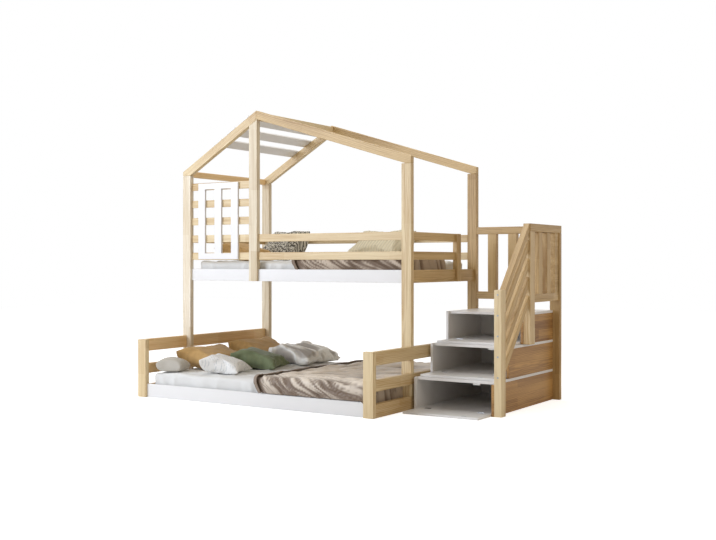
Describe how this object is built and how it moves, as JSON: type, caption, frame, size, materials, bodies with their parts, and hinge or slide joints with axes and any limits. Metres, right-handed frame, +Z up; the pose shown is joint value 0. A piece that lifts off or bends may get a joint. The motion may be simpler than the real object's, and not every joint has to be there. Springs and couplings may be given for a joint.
{
  "type": "house bunk bed with storage stairs",
  "caption": "Low wide bed with a narrower railed bed above it, a house-shaped roof frame, a window panel and a staircase of open step boxes with drop-down fronts.",
  "frame": {"origin": "on the floor under the middle of the whole outline", "axes": "+X along the bed towards the stairs, +Y from the open front to the back, +Z up"},
  "size_m": [2.782, 1.5, 2.152],
  "materials": {
    "pine": "clear satin lacquer on planed pine",
    "white_lacquer": "smooth white satin paint on board",
    "hinge_steel": "bright zinc plated",
    "catch_plastic": "moulded white",
    "white_cotton": "woven cotton sheet",
    "brown_velvet": "short-pile velvet",
    "pale_cotton": "woven cotton",
    "green_velvet": "short-pile velvet",
    "cream_knit": "chunky knit",
    "taupe_satin": "sateen quilt cover",
    "taupe_blanket_cloth": "soft cotton blanket"
  },
  "bodies": {
    "bed_frame": {"back_guard_rails": "pine", "back_railing": "pine", "eave_beam": "pine", "end_guard_rails": "pine", "entry_post": "pine", "front_guard_rails": "pine", "green_cushion": "green_velvet", "hinge_fixed_leaves": "hinge_steel", "hinge_pins": "hinge_steel", "left_end_rails": "pine", "lower_bed_slats": "pine", "lower_brown_pillows": "brown_velvet", "lower_front_posts": "pine", "lower_mattress": "white_cotton", "lower_pale_pillows": "pale_cotton", "lower_quilt": "taupe_satin", "lower_side_rails": "white_lacquer", "magnetic_catches": "catch_plastic", "middle_post": "pine", "newel_bolts": "hinge_steel", "rafter_back_left": "pine", "rafter_back_right": "pine", "rafter_front_left": "pine", "rafter_front_right": "pine", "ridge_beam": "pine", "right_end_rails": "pine", "roof_slats": "white_lacquer", "side_railing": "pine", "slat_supports": "pine", "stair_back_panel": "white_lacquer", "stair_back_post": "pine", "stair_bottom_panels": "white_lacquer", "stair_diagonal_boards": "pine", "stair_handrail": "pine", "stair_left_panel": "white_lacquer", "stair_mid_post": "pine", "stair_newel": "pine", "stair_right_panels": "pine", "stair_spacers": "pine", "stair_treads": "white_lacquer", "tall_post_back_left": "pine", "tall_post_back_right": "pine", "tall_post_front_left": "pine", "tall_post_front_right": "pine", "upper_back_rail": "white_lacquer", "upper_bed_slats": "pine", "upper_blanket": "taupe_blanket_cloth", "upper_end_rails": "pine", "upper_front_rail": "white_lacquer", "upper_mattress": "white_cotton", "upper_pillows": "cream_knit", "window_bay_slats": "pine", "window_frame": "white_lacquer"},
    "drop_front_1": {"flap_1": "white_lacquer", "flap_1_fittings": "hinge_steel"},
    "drop_front_2": {"flap_2": "white_lacquer", "flap_2_fittings": "hinge_steel"},
    "drop_front_3": {"flap_3": "white_lacquer", "flap_3_fittings": "hinge_steel"}
  },
  "joints": [
    {"name": "drop_front_1_hinge", "type": "hinge", "parent": "bed_frame", "child": "drop_front_1", "pos_m": [1.0335, -0.2514, 0.0191], "axis": [-1, 0, 0], "range_deg": [0, 90]},
    {"name": "drop_front_2_hinge", "type": "hinge", "parent": "bed_frame", "child": "drop_front_2", "pos_m": [1.0335, -0.0234, 0.2451], "axis": [-1, 0, 0], "range_deg": [0, 90]},
    {"name": "drop_front_3_hinge", "type": "hinge", "parent": "bed_frame", "child": "drop_front_3", "pos_m": [1.0335, 0.2046, 0.4606], "axis": [-1, 0, 0], "range_deg": [0, 90]}
  ]
}
